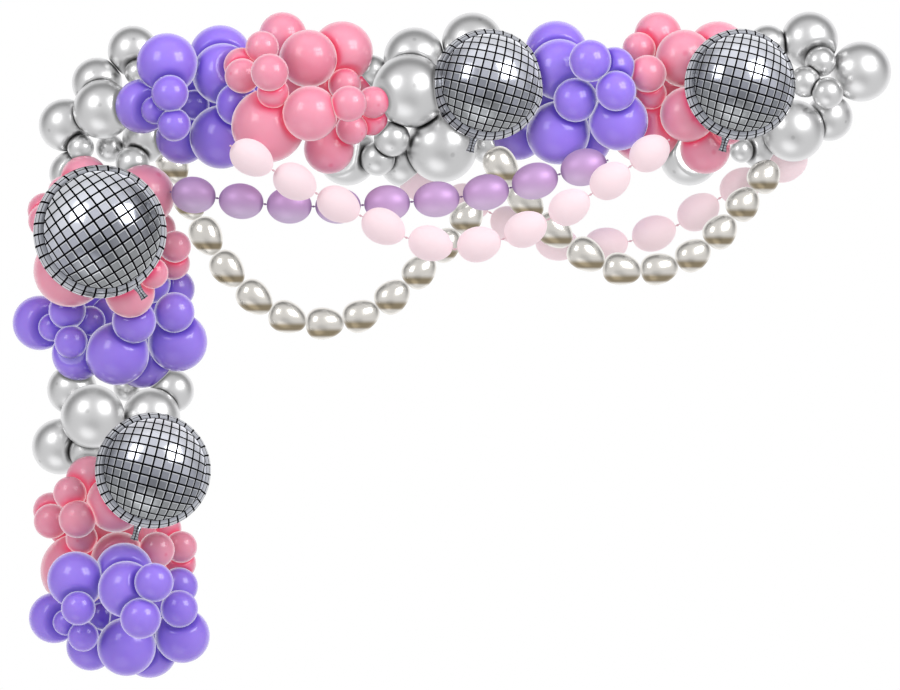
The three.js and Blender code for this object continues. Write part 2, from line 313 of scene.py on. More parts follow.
# %% Bunches, foil balls and strands
# name, plan, finish, middle (x, z), scale, turn
BUNCHES = [
    ("corner_silver", CORNER_BUNCH, "silver_latex", (0.000, 0.000), 1.00, 0),
    ("middle_silver", MIDDLE_BUNCH, "silver_latex", (1.215, -0.068), 1.00, 0),
    ("end_silver", END_BUNCH, "silver_latex", (2.715, -0.049), 1.00, 0),
    ("column_silver", COLUMN_BUNCH, "silver_latex", (0.052, -1.268), 1.00, 0),
    ("foot_pink", PINK_BUNCH, "pink_latex", (0.062, -1.717), 1.00, 1),
    ("right_pink", PINK_BUNCH, "pink_latex", (2.196, -0.049), 1.00, 1),
    ("left_purple", PURPLE_BUNCH, "purple_latex", (0.444, -0.066), 1.08, 2),
    ("right_purple", PURPLE_BUNCH, "purple_latex", (1.707, -0.050), 1.08, 2),
    ("column_purple", PURPLE_BUNCH, "purple_latex", (0.054, -0.878), 1.08, 2),
    ("foot_purple", PURPLE_BUNCH, "purple_latex", (0.090, -1.988), 1.00, 2),
    ("left_pink", PINK_BUNCH, "pink_latex", (0.784, -0.049), 1.00, 3),
    ("column_pink", PINK_BUNCH, "pink_latex", (0.041, -0.589), 1.00, 3),
]
# name, middle (x, z), diameter, how far the filling neck leans off straight down, towards +X
FOIL_BALLS = [
    ("mirror_ball_upper_column", (0.022, -0.563), 0.498, 34),
    ("mirror_ball_middle", (1.470, -0.011), 0.419, -15),
    ("mirror_ball_right", (2.412, -0.012), 0.416, -15),
    ("mirror_ball_lower_column", (0.218, -1.455), 0.433, -15),
]
# name, finish, link length and thickness, number of links, by what share the first links are
# longer and the last ones shorter, route of (x, z, out from the wall)
STRANDS = [
    ("pale_pink_strand_back", "pale_pink_latex", 0.166, 0.132, 9, 0, [
        (1.129, -0.352, 0.074), (1.388, -0.439, 0.074), (1.560, -0.536, 0.074),
        (1.740, -0.622, 0.074), (1.928, -0.608, 0.074), (2.104, -0.570, 0.074),
        (2.265, -0.490, 0.074), (2.415, -0.383, 0.074), (2.678, -0.270, 0.074)]),
    ("champagne_strand_left", "champagne_chrome", 0.130, 0.121, 13, 0.095, [
        (0.255, -0.236, 0.060), (0.341, -0.431, 0.110), (0.488, -0.701, 0.180),
        (0.720, -0.893, 0.190), (0.990, -0.885, 0.190), (1.211, -0.713, 0.190),
        (1.395, -0.503, 0.188), (1.508, -0.349, 0.150)]),
    ("champagne_strand_right", "champagne_chrome", 0.130, 0.121, 10, 0.12, [
        (1.479, -0.251, 0.210), (1.609, -0.446, 0.190), (1.714, -0.555, 0.190),
        (1.957, -0.709, 0.190), (2.228, -0.664, 0.190), (2.422, -0.465, 0.190),
        (2.546, -0.300, 0.180)]),
    ("lavender_strand", "lavender_pearl", 0.172, 0.136, 9, -0.035, [
        (0.278, -0.412, 0.300), (0.722, -0.465, 0.318), (1.095, -0.456, 0.318),
        (1.475, -0.414, 0.318), (1.920, -0.294, 0.330)]),
    ("pale_pink_strand_front", "pale_pink_latex", 0.168, 0.132, 10, 0.045, [
        (0.508, -0.243, 0.640), (0.752, -0.381, 0.550), (0.917, -0.463, 0.480),
        (1.086, -0.549, 0.455), (1.258, -0.617, 0.455), (1.432, -0.624, 0.455),
        (1.598, -0.556, 0.455), (1.772, -0.479, 0.455), (1.914, -0.379, 0.455),
        (2.148, -0.218, 0.430)]),
]

# %% Settling the round balloons
SQUEEZE = 0.88  # balloons that touch have their centres at this share of their radii apart
PULL_BACK = 0.75  # and their ties pull the outer one this much nearer to the wall
WALL_PRESS = 0.010  # how far a balloon is pressed flat against the wall
HIDDEN = 0.9  # a balloon that others cover by this share is not there


def round_balloon(piece, finish, x, z, diameter, order, heart=False):
    return {"piece": piece, "finish": finish, "x": x, "z": z, "radius": diameter / 2,
            "order": order, "heart": heart}


def all_round_balloons():
    balloons = []
    for name, plan, finish, (x, z), scale, turn in BUNCHES:
        for across, up, diameter, layer in plan:
            balloons.append(round_balloon(
                name, finish, x + across * scale, z + up * scale, diameter * scale,
                10 * turn + layer, layer == HEART))
    for name, (x, z), diameter, lean in FOIL_BALLS:
        ball = round_balloon(name, "mirror_foil", x, z, diameter, math.inf)
        balloons.append({**ball, "lean": math.radians(lean)})
    return sorted(balloons, key=lambda balloon: balloon["order"])


def covered_share(ball, front):
    """The share of a ball's face, seen from the front, that the balls in front of it cover."""
    ring, spoke = np.meshgrid(np.arange(1, 5) / 4, np.arange(16) / 16 * math.tau)
    x = ball["x"] + ball["radius"] * ring * np.cos(spoke)
    z = ball["z"] + ball["radius"] * ring * np.sin(spoke)
    covered = np.zeros(x.shape, bool)
    for other in front:
        covered |= np.hypot(x - other["x"], z - other["z"]) < other["radius"]
    return covered.mean()


def settled_out(ball, placed):
    """How far off the wall a ball comes to lie: on the wall, or on those placed before it."""
    out = ball["radius"] - WALL_PRESS
    for other in placed:
        reach = SQUEEZE * (ball["radius"] + other["radius"])
        apart = math.hypot(ball["x"] - other["x"], ball["z"] - other["z"])
        if apart < reach:
            out = max(out, other["out"] + PULL_BACK * math.sqrt(reach ** 2 - apart ** 2))
    return out


def settle(balloons):
    hearts = [ball for ball in balloons if ball["heart"]]
    others = [ball for ball in balloons if not ball["heart"]]
    placed = []
    for ball in [b for i, b in enumerate(others) if covered_share(b, others[i + 1:]) < HIDDEN]:
        ball["out"] = settled_out(ball, placed)
        placed.append(ball)
    for ball in hearts:
        ball["out"] = settled_out(ball, [])
    for ball in placed + hearts:
        ball["centre"] = np.array([ball["x"], -ball["out"], ball["z"]])
    return placed + hearts


rounds = settle(all_round_balloons())
print(len(rounds), "round balloons; the frontmost stands",
      round(max(b["out"] + b["radius"] for b in rounds), 3), "m off the wall")

# %% [markdown]
# A strand hangs along a smooth curve through its route. Its knots are spaced out on that
# curve, a little closer towards one end, and each link balloon is tied between two knots.

# %% Knots of the strands
CURVE_STEPS = 60


def curve_between(before, start, end, after):
    """Points of a centripetal Catmull-Rom curve from start to end."""
    gaps = [max(np.linalg.norm(b - a) ** 0.5, 1e-4)
            for a, b in ((before, start), (start, end), (end, after))]
    leave = ((start - before) / gaps[0] - (end - before) / (gaps[0] + gaps[1])
             + (end - start) / gaps[1]) * gaps[1]
    arrive = ((end - start) / gaps[1] - (after - start) / (gaps[1] + gaps[2])
              + (after - end) / gaps[2]) * gaps[1]
    t = np.linspace(0, 1, CURVE_STEPS)[:, None]
    square = -3 * start + 3 * end - 2 * leave - arrive
    cube = 2 * start - 2 * end + leave + arrive
    return start + leave * t + square * t ** 2 + cube * t ** 3


def spaced_knots(route, count, pace):
    """count + 1 knots on the smooth curve through the route, at first further apart by pace."""
    points = [np.array([x, -out, z]) for x, z, out in route]
    points = [2 * points[0] - points[1], *points, 2 * points[-1] - points[-2]]
    curve = np.concatenate([curve_between(*points[i:i + 4]) for i in range(len(points) - 3)])
    walked = np.concatenate([[0], np.cumsum(np.linalg.norm(np.diff(curve, axis=0), axis=1))])
    share = np.linspace(0, 1, count + 1)
    stops = walked[-1] * (share + pace * share * (1 - share))
    return np.stack([np.interp(stops, walked, curve[:, axis]) for axis in range(3)], axis=1)


def links_of(name, finish, long, thick, count, pace, route):
    knots = spaced_knots(route, count, pace)
    for start, end in zip(knots[:-1], knots[1:]):
        apart = np.linalg.norm(end - start)
        yield {"piece": name, "finish": finish, "long": long, "thick": thick, "apart": apart,
               "centre": (start + end) / 2, "heading": (end - start) / apart,
               "start": start, "end": end}


links = [link for strand in STRANDS for link in links_of(*strand)]
print(len(links), "links, tied",
      sorted({round(1000 * link["apart"]) for link in links}), "mm apart")

# %% [markdown]
# ## Balloons that press on each other
#
# A balloon is round until something presses on it. Where two touch, both go flat along the
# plane between them, and the skin rounds over softly at the edge of the flat. The one nearer
# the wall gives more, as it is held there, and the outer one stays rounder. So each balloon
# is made as a fine ball whose points are pulled in to the nearest of those planes, by a soft
# minimum. Besides its place, each point keeps three values for the finishes to read: the
# direction on its own balloon, with the crown at +Z, how deep it lies in a crease, and a
# number that is the same all over one balloon.

# %% Contact planes
GAP = 0.0003  # between balloons that touch
OUTER_GIVES = 0.25  # where one overlaps another right behind it, the share that it gives up
NO_PLANE = 1e3  # a distance that never presses
GRAZING = 1e-3  # a plane that a direction meets at less than this isn't met


def reach_towards(balloon, direction):
    """How far a balloon's skin is from its centre: a link is longer than it is thick."""
    if "radius" in balloon:
        return balloon["radius"]
    along = float(direction @ balloon["heading"]) ** 2
    return 1 / math.sqrt(along / (balloon["long"] / 2) ** 2
                         + (1 - along) / (balloon["thick"] / 2) ** 2)


def contact_planes(balloon, others):
    """(outward normal, distance from the balloon's centre) of each flat it is pressed into."""
    planes = []
    for other in others:
        if other is balloon or ("heading" in balloon and other["piece"] == balloon["piece"]):
            continue
        between = other["centre"] - balloon["centre"]
        distance = np.linalg.norm(between)
        normal = between / distance
        own, theirs = reach_towards(balloon, normal), reach_towards(other, normal)
        overlap = own + theirs - distance
        if overlap > 0:
            given = 0.5 - (0.5 - OUTER_GIVES) * normal[1]
            planes.append((normal, own - given * overlap - GAP / 2))
    planes.append((np.array([0.0, 1.0, 0.0]), -balloon["centre"][1]))
    return planes


balloons = [*rounds, *links]
for balloon in balloons:
    balloon["planes"] = contact_planes(balloon, balloons)
print(sum(len(b["planes"]) - 1 for b in balloons) // 2, "places where two balloons press")


# %% Pulling a skin in to its planes
def soft_minimum(a, b, softness):
    share = np.clip(0.5 + 0.5 * (b - a) / softness, 0, 1)
    return b + (a - b) * share - softness * share * (1 - share)


def pressed_radii(directions, radii, planes, softness):
    """The distance of each point from the centre, once the planes have pressed it in."""
    for normal, distance in planes:
        facing = directions @ normal
        to_plane = distance / np.maximum(facing, GRAZING)
        to_plane = np.where(facing > GRAZING, to_plane, NO_PLANE)
        radii = soft_minimum(radii, np.maximum(to_plane, softness), softness)
    return radii


def crease_depth(points, ball, fade):
    """1 where another round balloon touches, fading to 0 over a short distance. The strands
    hang clear, so they make no crease."""
    gap = np.full(len(points), np.inf)
    for other in rounds:
        reach = ball["radius"] + other["radius"] + 3 * fade
        if other is ball or np.linalg.norm(other["centre"] - ball["centre"]) > reach:
            continue
        distance = np.linalg.norm(points - other["centre"], axis=1)
        gap = np.minimum(gap, distance - other["radius"])
    return np.exp(-np.maximum(gap, 0) / fade)


# %% [markdown]
# Chrome would mirror the coloured balloons next to it in sharp patches. Each bunch is lit as if
# it hung alone, so chrome mirrors only its own kind: the rest is hidden from mirror rays.

# %% A mesh from arrays
MIRRORED = ("silver_latex",)


def mesh_piece(name, points, faces, values, finishes):
    """One smooth mesh piece. values maps an attribute's name to an array, one row a point."""
    mesh = bpy.data.meshes.new(name)
    mesh.from_pydata(points.tolist(), [], faces)
    for key, array in values.items():
        kind = "FLOAT_VECTOR" if array.ndim == 2 else "FLOAT"
        attribute = mesh.attributes.new(key, kind, "POINT")
        field = "vector" if array.ndim == 2 else "value"
        attribute.data.foreach_set(field, array.astype(np.float32).ravel())
    mesh.polygons.foreach_set("use_smooth", [True] * len(mesh.polygons))
    for finish in finishes:
        mesh.materials.append(finish)
    mesh.update()
    piece = bpy.data.objects.new(name, mesh)
    bpy.context.scene.collection.objects.link(piece)
    return piece


def nodes_of(prefix):
    """The frame's nodes that a piece stands for: its own name, or its name and a number."""
    return [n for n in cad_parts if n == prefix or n.rsplit("_", 1)[0] == prefix]


def hand_over(piece, prefix, slot):
    """Hangs the piece on the root, hides the frame's nodes that it stands for, and lets it show in
    mirror rays only if its finish is mirrored.
    """
    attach(piece, "root")
    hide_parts(*nodes_of(prefix))
    piece.visible_glossy = slot in MIRRORED


# %% [markdown]
# ## The finishes
#
# Party latex is dyed through, so its colour is deepest where the skin is thick, round the neck.
# In the creases, where shade falls and light passes from one balloon to the next, a deeper colour
# is painted in as painted shade, with a painted glow over it. Where it is stretched thin, towards
# the crown, it is paler. At the crown itself is a small dark spot, where the skin stays thick. A
# wet-looking coat and a little light under the skin finish it.

# %% Latex
def new_finish(name):
    material = bpy.data.materials.new(name)
    material.use_nodes = True
    material.node_tree.nodes.clear()
    return material, Tree(material.node_tree)


def surface(tree, sockets):
    """The Principled shader, with its sockets set, as the finish's surface."""
    shader = tree.node("ShaderNodeBsdfPrincipled", sockets=sockets)
    tree.node("ShaderNodeOutputMaterial", sockets={"Surface": shader})


def own_attribute(tree, name, output):
    return tree.node("ShaderNodeAttribute", {"attribute_name": name}, output=output)


def crown_angle(tree, own):
    """The angle from the crown, in radians, of a point on its own balloon."""
    split = tree.node("ShaderNodeSeparateXYZ", sockets={0: own}).socket.node
    x, y, z = (Wire(socket) for socket in split.outputs)
    sideways = (x * x + y * y) ** 0.5
    return sideways.math("ARCTAN2", sideways, z)


def latex(name, tones, roughness, scatter, spots):
    """tones: body, pale at the crown, a darker tone round the neck, at the crown spot and as
    painted shading in the creases, a painted glow of light between balloons there, and the sheen's
    rim.
    """
    body, pale, deep_and_crease_shade, glow, rim = (rgba(tone) for tone in tones)
    material, tree = new_finish(name)
    own = own_attribute(tree, "own", "Vector")
    crease = own_attribute(tree, "crease", "Fac")
    each = own_attribute(tree, "each", "Fac")
    angle = crown_angle(tree, own)
    cloudy = tree.node("ShaderNodeTexNoise", sockets={
        "Vector": tree.node("ShaderNodeVectorMath", {"operation": "ADD"}, {
            0: own, 1: tree.node("ShaderNodeCombineXYZ", sockets={0: each * 40})}),
        "Scale": 1.4, "Detail": 1.0})
    thin = tree.between(2.2, 0.1, angle + (cloudy - 0.5) * 0.6)
    colour = tree.blend(thin * 0.6, body, pale)
    colour = tree.blend(tree.between(2.1, 3.0, angle) * 0.7, colour, deep_and_crease_shade)
    # painted shade: the creases, where shade falls between balloons, take the darker colour
    colour = tree.blend(tree.between(0.20, 1.0, crease) * 0.90, colour, deep_and_crease_shade)
    spot = tree.between(0.16, 0.02, angle) * tree.between(0.45, 0.75, each) * spots
    colour = tree.blend(spot, colour, deep_and_crease_shade)
    # painted glow: emission in the creases stands in for light passed between balloons
    painted_glow = tree.blend(tree.between(0.30, 1.0, crease), (0, 0, 0, 1), glow)
    surface(tree, {
        "Base Color": colour, "Roughness": roughness, "Subsurface Weight": scatter,
        "Subsurface Radius": (0.03, 0.012, 0.018), "Subsurface Scale": 0.5,
        "Coat Weight": 0.7, "Coat Roughness": 0.14, "Sheen Weight": 0.22,
        "Sheen Roughness": 0.25, "Sheen Tint": rim, "Specular IOR Level": 0.5,
        "Emission Color": painted_glow, "Emission Strength": 0.18})
    return material


# %% Chrome latex
def chrome_latex(name, body, spot_and_crease_shade, roughness):
    """Latex with a mirror-like pigment: a soft mirror, a little darker in the creases as painted
    shading, with a small dark spot at the crown.
    """
    material, tree = new_finish(name)
    own = own_attribute(tree, "own", "Vector")
    crease = own_attribute(tree, "crease", "Fac")
    angle = crown_angle(tree, own)
    # painted shade: a little darker in the creases
    colour = tree.blend(tree.between(0.50, 1.0, crease) * 0.75, rgba(body), rgba(spot_and_crease_shade))
    # the balloon's own small dark spot at the crown
    colour = tree.blend(tree.between(0.10, 0.03, angle) * 0.3, colour, rgba(spot_and_crease_shade))
    surface(tree, {
        "Base Color": colour, "Metallic": 1.0, "Roughness": roughness,
        "Coat Weight": 0.25, "Coat Roughness": 0.15})
    return material


# Latex tones: the third is also painted shade in the creases, the fourth a painted glow there.
FINISHES = {
    "purple_latex": latex(
        "purple_latex", ("8C68EA", "A98BFA", "4A1CB8", "5A1CC8", "E2D8FF"), 0.26, 0.20, 0.0),
    "pink_latex": latex(
        "pink_latex", ("EC86A2", "F8AABF", "EA3C72", "F0306C", "FFE8EE"), 0.30, 0.30, 0.40),
    "silver_latex": chrome_latex("silver_latex", "E6E6E6", "8C8C8C", 0.35),
}

# %% [markdown]
# ## The bunches
#
# A latex balloon isn't quite a ball: it draws out a little towards its neck, which is tied in
# the heart of the bunch. So each balloon here has an axis that points out of its bunch and
# towards the front, more or less, and its far end is drawn out by a few hundredths.

# %% Fine balls
DRAWN_OUT = 0.05  # of the radius, towards the neck
SOFTNESS = 0.07  # of the radius: how softly a flat rounds over into the skin
CREASE_FADE = 0.028  # how far from a touch the painted shade and glow of a crease reach
FINE_STEPS = 5  # a heart balloon, which hardly shows, is made with one step fewer
rng = np.random.default_rng(7)


def fine_ball(steps):
    ball = bmesh.new()
    bmesh.ops.create_icosphere(ball, subdivisions=steps, radius=1)
    points = np.array([v.co for v in ball.verts])
    faces = np.array([[v.index for v in face.verts] for face in ball.faces])
    ball.free()
    return points, faces


def crown_frame(crown):
    """Three directions across a balloon, the last one its crown's."""
    crown = crown / np.linalg.norm(crown)
    side = np.cross(crown, [0.31, 0.17, 0.93])
    side /= np.linalg.norm(side)
    return np.stack([side, np.cross(crown, side), crown])


def bunch_middle(members):
    return np.mean([ball["centre"] for ball in members], axis=0)


def balloon_skin(ball, middle):
    """Points, directions on its own balloon, and crease depths of one latex balloon."""
    outwards = (ball["centre"] - middle) * [1, 0.6, 1] / 0.3 + [0, -1.1, 0]
    own_axes = crown_frame(outwards + rng.normal(0, 0.28, 3))
    directions, faces = HEART_BALL if ball["heart"] else FINE_BALL
    own = directions @ own_axes.T
    neckwards = np.clip(-own[:, 2], 0, 1)
    radii = ball["radius"] * (1 + DRAWN_OUT * neckwards ** 3)
    radii = pressed_radii(directions, radii, ball["planes"], SOFTNESS * ball["radius"])
    points = ball["centre"] + directions * radii[:, None]
    return points, faces, own, crease_depth(points, ball, CREASE_FADE)


FINE_BALL, HEART_BALL = fine_ball(FINE_STEPS), fine_ball(FINE_STEPS - 1)


def make_bunch(name, finish):
    members = [ball for ball in rounds if ball["piece"] == name]
    middle = bunch_middle(members)
    skins = [balloon_skin(ball, middle) for ball in members]
    starts = np.cumsum([0] + [len(points) for points, *_ in skins[:-1]])
    points = np.concatenate([skin[0] for skin in skins])
    faces = np.concatenate([skin[1] + start for skin, start in zip(skins, starts)])
    own = np.concatenate([skin[2] for skin in skins])
    crease = np.concatenate([skin[3] for skin in skins])
    each = np.concatenate([np.full(len(skin[0]), rng.random()) for skin in skins])
    values = {"own": own, "crease": crease, "each": each}
    piece = mesh_piece(f"{name}_balloons", points, faces.tolist(), values, [FINISHES[finish]])
    hand_over(piece, name, finish)
    print(f"{piece.name}: {len(members)} balloons, {len(faces)} triangles")


for name, _, finish, *_ in BUNCHES:
    make_bunch(name, finish)

# %% [markdown]
# ## The mirror balls
#
# A mirror ball here is a foil balloon with a grid of tiles printed on it. Two flat round
# sheets make its front and back, so their grid is square in the sheet's own plane and runs
# over the ball like a cloth laid on it. A narrow band joins them at the side, and its lines
# run straight across. The print is a UV map in tiles: whole numbers are the dark lines.

# %% Foil shape
FOIL_RINGS, FOIL_SPOKES = 80, 144
SEAM_ANGLE = math.radians(62)  # from the middle of the front to where the side band starts
TILES_ACROSS = 12.4  # on a front sheet, from seam to seam
BAND_TILES = 36
BACK_PRINT, BAND_PRINT, NECK_PRINT = 40, 80, 120  # where these parts' prints start, along u
PUCKERS, PUCKER_DEPTH, PUCKER_REACH = 44, 0.0016, 0.10
SEAM_DIP, SEAM_REACH = 0.0012, 0.018
FOIL_FACING = np.array([0.10, -1.0, 0.06])  # the front sheet's middle
NECK_LONG, NECK_WIDE, NECK_THICK, NECK_TILT = 0.062, 0.030, 0.010, math.radians(35)


def foil_axes(lean):
    """Across, up and facing directions of a foil ball's print, turned so that the neck is down."""
    facing = FOIL_FACING / np.linalg.norm(FOIL_FACING)
    down = np.array([math.sin(lean), 0, -math.cos(lean)])
    up = -(down - facing * (down @ facing))
    up /= np.linalg.norm(up)
    return np.cross(up, -facing), up, facing


def ring_angles():
    """Angles from the front's middle to the back's, with rings on both seams."""
    front = np.linspace(0, SEAM_ANGLE, FOIL_RINGS * 3 // 8 + 1)
    band = np.linspace(SEAM_ANGLE, math.pi - SEAM_ANGLE, FOIL_RINGS // 4 + 1)
    return np.concatenate([front, band[1:-1], math.pi - front[::-1]])


def foil_grid():
    angles = ring_angles()[1:-1]
    turns = np.arange(FOIL_SPOKES) / FOIL_SPOKES * math.tau
    angle, turn = np.meshgrid(angles, turns, indexing="ij")
    return angle.ravel(), turn.ravel()


def foil_directions(angle, turn, axes):
    across, up, facing = axes
    ring = np.sin(angle)[:, None]
    return (np.cos(angle)[:, None] * facing + ring * np.cos(turn)[:, None] * across
            + ring * np.sin(turn)[:, None] * up)


def puckered(angle, turn, radius):
    """The foil's radius: creased by short puckers that cross each seam."""
    near, at_seam = (
        sum(np.exp(-((angle - seam) / reach) ** 2) for seam in (SEAM_ANGLE, math.pi - SEAM_ANGLE))
        for reach in (PUCKER_REACH, SEAM_REACH))
    wander = np.sin(3 * turn + 1.0) + 0.6 * np.sin(7 * turn + 2.2)
    folds = np.abs(np.sin(PUCKERS / 2 * turn + wander)) - 0.6
    return radius + PUCKER_DEPTH * near * folds - SEAM_DIP * at_seam


def foil_faces():
    """Quads between the rings, and a fan of triangles at each pole."""
    rings = len(ring_angles()) - 2
    here = np.arange(FOIL_SPOKES)
    after = (here + 1) % FOIL_SPOKES
    faces, first_pole, last_pole = [], rings * FOIL_SPOKES, rings * FOIL_SPOKES + 1
    for ring in range(rings - 1):
        a, b = ring * FOIL_SPOKES, (ring + 1) * FOIL_SPOKES
        faces += np.stack([a + here, b + here, b + after, a + after], axis=1).tolist()
    last = (rings - 1) * FOIL_SPOKES
    faces += [[first_pole, i, j] for i, j in zip(here.tolist(), after.tolist())]
    faces += [[last_pole, last + j, last + i] for i, j in zip(here.tolist(), after.tolist())]
    return faces


# %% Foil print
def print_of(angle, turn):
    """Where points on one of the sheets or on the band lie in the print, in tiles."""
    if angle.mean() < SEAM_ANGLE:
        out = angle / SEAM_ANGLE * TILES_ACROSS / 2
        return out * np.cos(turn) + 0.5, out * np.sin(turn)
    if angle.mean() > math.pi - SEAM_ANGLE:
        out = (math.pi - angle) / SEAM_ANGLE * TILES_ACROSS / 2
        return out * np.cos(turn) + BACK_PRINT + 0.5, out * np.sin(turn)
    per_radian = TILES_ACROSS / 2 / SEAM_ANGLE
    return turn / math.tau * BAND_TILES + BAND_PRINT, (angle - SEAM_ANGLE) * per_radian


def paint_print(mesh, angle, turn, neck_start, neck_print):
    """Fills the UV map, face by face, so that the print jumps cleanly at a seam."""
    layer = mesh.uv_layers.new(name="print")
    coordinates = np.zeros((len(mesh.loops), 2))
    for polygon in mesh.polygons:
        corners = np.array(polygon.vertices)
        loops = np.array(polygon.loop_indices)
        if corners[0] >= neck_start:
            coordinates[loops] = neck_print[corners - neck_start]
            continue
        turns = turn[corners].copy()
        turns[turns - turns.min() > math.pi] -= math.tau
        pole = np.isin(angle[corners], (0, math.pi))
        turns[pole] = turns[~pole].mean()
        coordinates[loops] = np.stack(print_of(angle[corners], turns), axis=1)
    layer.data.foreach_set("uv", coordinates.ravel())


# %% [markdown]
# The filling neck is a flat tube of the same foil. It hangs from the underside, swings out
# over the balloons below, and flares a little at its crimped end.

# %% Foil neck
NECK_RINGS, NECK_SIDES = 14, 24
NECK_ROOT = 0.014  # how far it starts inside the ball
NECK_CRIMP = 0.0012
NECK_TILES, NECK_TILE_LONG = 4, 0.012  # round the neck, and along it


def neck_shape(ball, start):
    """Points, faces and print of the neck, whose first point has that number."""
    along = np.linspace(-NECK_ROOT, NECK_LONG, NECK_RINGS)
    turns = np.arange(NECK_SIDES) / NECK_SIDES * math.tau
    rows, marks = [], []
    for s in along:
        share = s / NECK_LONG
        half_wide = NECK_WIDE / 2 * (1.05 - 0.28 * math.sin(math.pi * min(max(share, 0), 1)))
        half_thick = NECK_THICK / 2 * (1.15 - 0.75 * min(max(share, 0), 1))
        crimp = NECK_CRIMP * np.sin(5 * turns) * max(share, 0)
        rows.append(np.stack([half_wide * np.cos(turns), (half_thick + crimp) * np.sin(turns),
                              np.full(NECK_SIDES, -s)], axis=1))
        marks.append(np.stack([NECK_PRINT + turns / math.tau * NECK_TILES,
                               np.full(NECK_SIDES, s / NECK_TILE_LONG)], axis=1))
    points = np.concatenate(rows)
    tilt, lean = -NECK_TILT, -ball["lean"]
    tilted = points @ np.array([[1, 0, 0], [0, math.cos(tilt), math.sin(tilt)],
                                [0, -math.sin(tilt), math.cos(tilt)]])
    hung = tilted - [0, 0, ball["radius"]]
    leaned = hung @ np.array([[math.cos(lean), 0, -math.sin(lean)], [0, 1, 0],
                              [math.sin(lean), 0, math.cos(lean)]])
    here = np.arange(NECK_SIDES)
    after = (here + 1) % NECK_SIDES
    faces = []
    for ring in range(NECK_RINGS - 1):
        a, b = start + ring * NECK_SIDES, start + (ring + 1) * NECK_SIDES
        faces += np.stack([a + here, b + here, b + after, a + after], axis=1).tolist()
    faces.append((start + here[::-1]).tolist())
    faces.append((start + (NECK_RINGS - 1) * NECK_SIDES + here).tolist())
    return leaned + ball["centre"], faces, np.concatenate(marks)


# %% Foil finish
def foil_finish():
    """Printed tiles on mirror foil: black lines, a thin light bevel on two sides of each square,
    and tones that go from light at the top of a sheet to a dark row under its middle, partly print
    and partly a painted reflection of the bright studio above and its dim surroundings."""
    material, tree = new_finish("mirror_foil")
    place = tree.node("ShaderNodeUVMap", {"uv_map": "print"})
    split = tree.node("ShaderNodeSeparateXYZ", sockets={0: place}).socket.node
    u, v = Wire(split.outputs[0]), Wire(split.outputs[1])
    in_u, in_v = u.math("FRACT", u), v.math("FRACT", v)
    edge_u, edge_v = in_u.math("MINIMUM", in_u, 1 - in_u), in_v.math("MINIMUM", in_v, 1 - in_v)
    line = tree.between(0.105, 0.080, in_u.math("MINIMUM", edge_u, edge_v))
    bevel = tree.between(0.190, 0.160, in_u.math("MINIMUM", in_u, 1 - in_v))
    cell = tree.node("ShaderNodeCombineXYZ", sockets={
        0: u.math("FLOOR", u), 1: v.math("FLOOR", v)})
    chance = tree.node("ShaderNodeTexWhiteNoise", {"noise_dimensions": "3D"}, {"Vector": cell})
    # painted reflection, partly print: tones by row, light at the top of a sheet and dark under its
    # middle, with random tones per tile
    row = tree.node("ShaderNodeMapRange", sockets={
        "Value": v.math("FLOOR", v) + chance * 1.6, "From Min": -TILES_ACROSS / 2,
        "From Max": TILES_ACROSS / 2})
    tile_print_and_painted_reflection = tree.node("ShaderNodeValToRGB", {"stops": [
        (0.00, srgb("B0B3B4")), (0.20, srgb("A0A3A5")), (0.34, srgb("8E9197")),
        (0.42, srgb("979AA4")), (0.50, srgb("B2B5C1")), (0.60, srgb("D0D3DF")),
        (0.80, srgb("ECEFF8")), (1.00, srgb("F2F4FA"))]}, {0: row})
    band = tree.between(BAND_PRINT - 20, BAND_PRINT - 19, u)  # on the band and the neck
    colour = tree.blend(bevel * 0.7, tile_print_and_painted_reflection, rgba("F4F6FA"))
    colour = tree.blend(band * 0.75, colour, rgba("8E9199"))
    colour = tree.blend(line, colour, rgba("050507"))
    light_top_rows = tree.between(0.55, 0.85, row) * 0.45  # the top rows are printed light, partly as a painted reflection of the light above
    surface(tree, {
        "Base Color": colour, "Metallic": (1 - line) * (0.95 - light_top_rows),
        "Roughness": 0.16 + line * 0.34,
        "Coat Weight": 0.3 - line * 0.3, "Coat Roughness": 0.06, "Specular IOR Level": 0.0})
    return material


FINISHES["mirror_foil"] = foil_finish()


# %% Make the mirror balls
def make_foil_ball(ball):
    axes = foil_axes(ball["lean"])
    angle, turn = foil_grid()
    directions = foil_directions(angle, turn, axes)
    radii = puckered(angle, turn, ball["radius"])
    directions = np.concatenate([directions, [axes[2], -axes[2]]])
    radii = np.concatenate([radii, [ball["radius"]] * 2])
    angle = np.concatenate([angle, [0, math.pi]])
    turn = np.concatenate([turn, [0, 0]])
    radii = pressed_radii(directions, radii, ball["planes"], SOFTNESS * ball["radius"])
    points = ball["centre"] + directions * radii[:, None]
    neck_points, neck_faces, neck_print = neck_shape(ball, len(points))
    name = ball["piece"]
    piece = mesh_piece(f"{name}_foil", np.concatenate([points, neck_points]),
                       foil_faces() + neck_faces, {}, [FINISHES["mirror_foil"]])
    paint_print(piece.data, angle, turn, len(points), neck_print)
    hand_over(piece, name, "mirror_foil")
    print(f"{piece.name}: {len(piece.data.polygons)} faces")


for ball in rounds:
    if "lean" in ball:
        make_foil_ball(ball)

# %% [markdown]
# ## The strands
#
# A link balloon has a tail at both ends, and a strand is links tied tail to tail. That is what
# Geometry Nodes are for: one template link is turned and stretched along each span between two
# knots. The template is a lathe, and the tree reads the spans from a chain of edges.

# %% The link templates
LINK_SIDES, LINK_RINGS = 32, 30
TAIL_RADIUS = 0.0022
KNOT_RADIUS = 0.0042
SHORT_TAIL = 0.004  # a link with tails under this is all body, from knot to knot


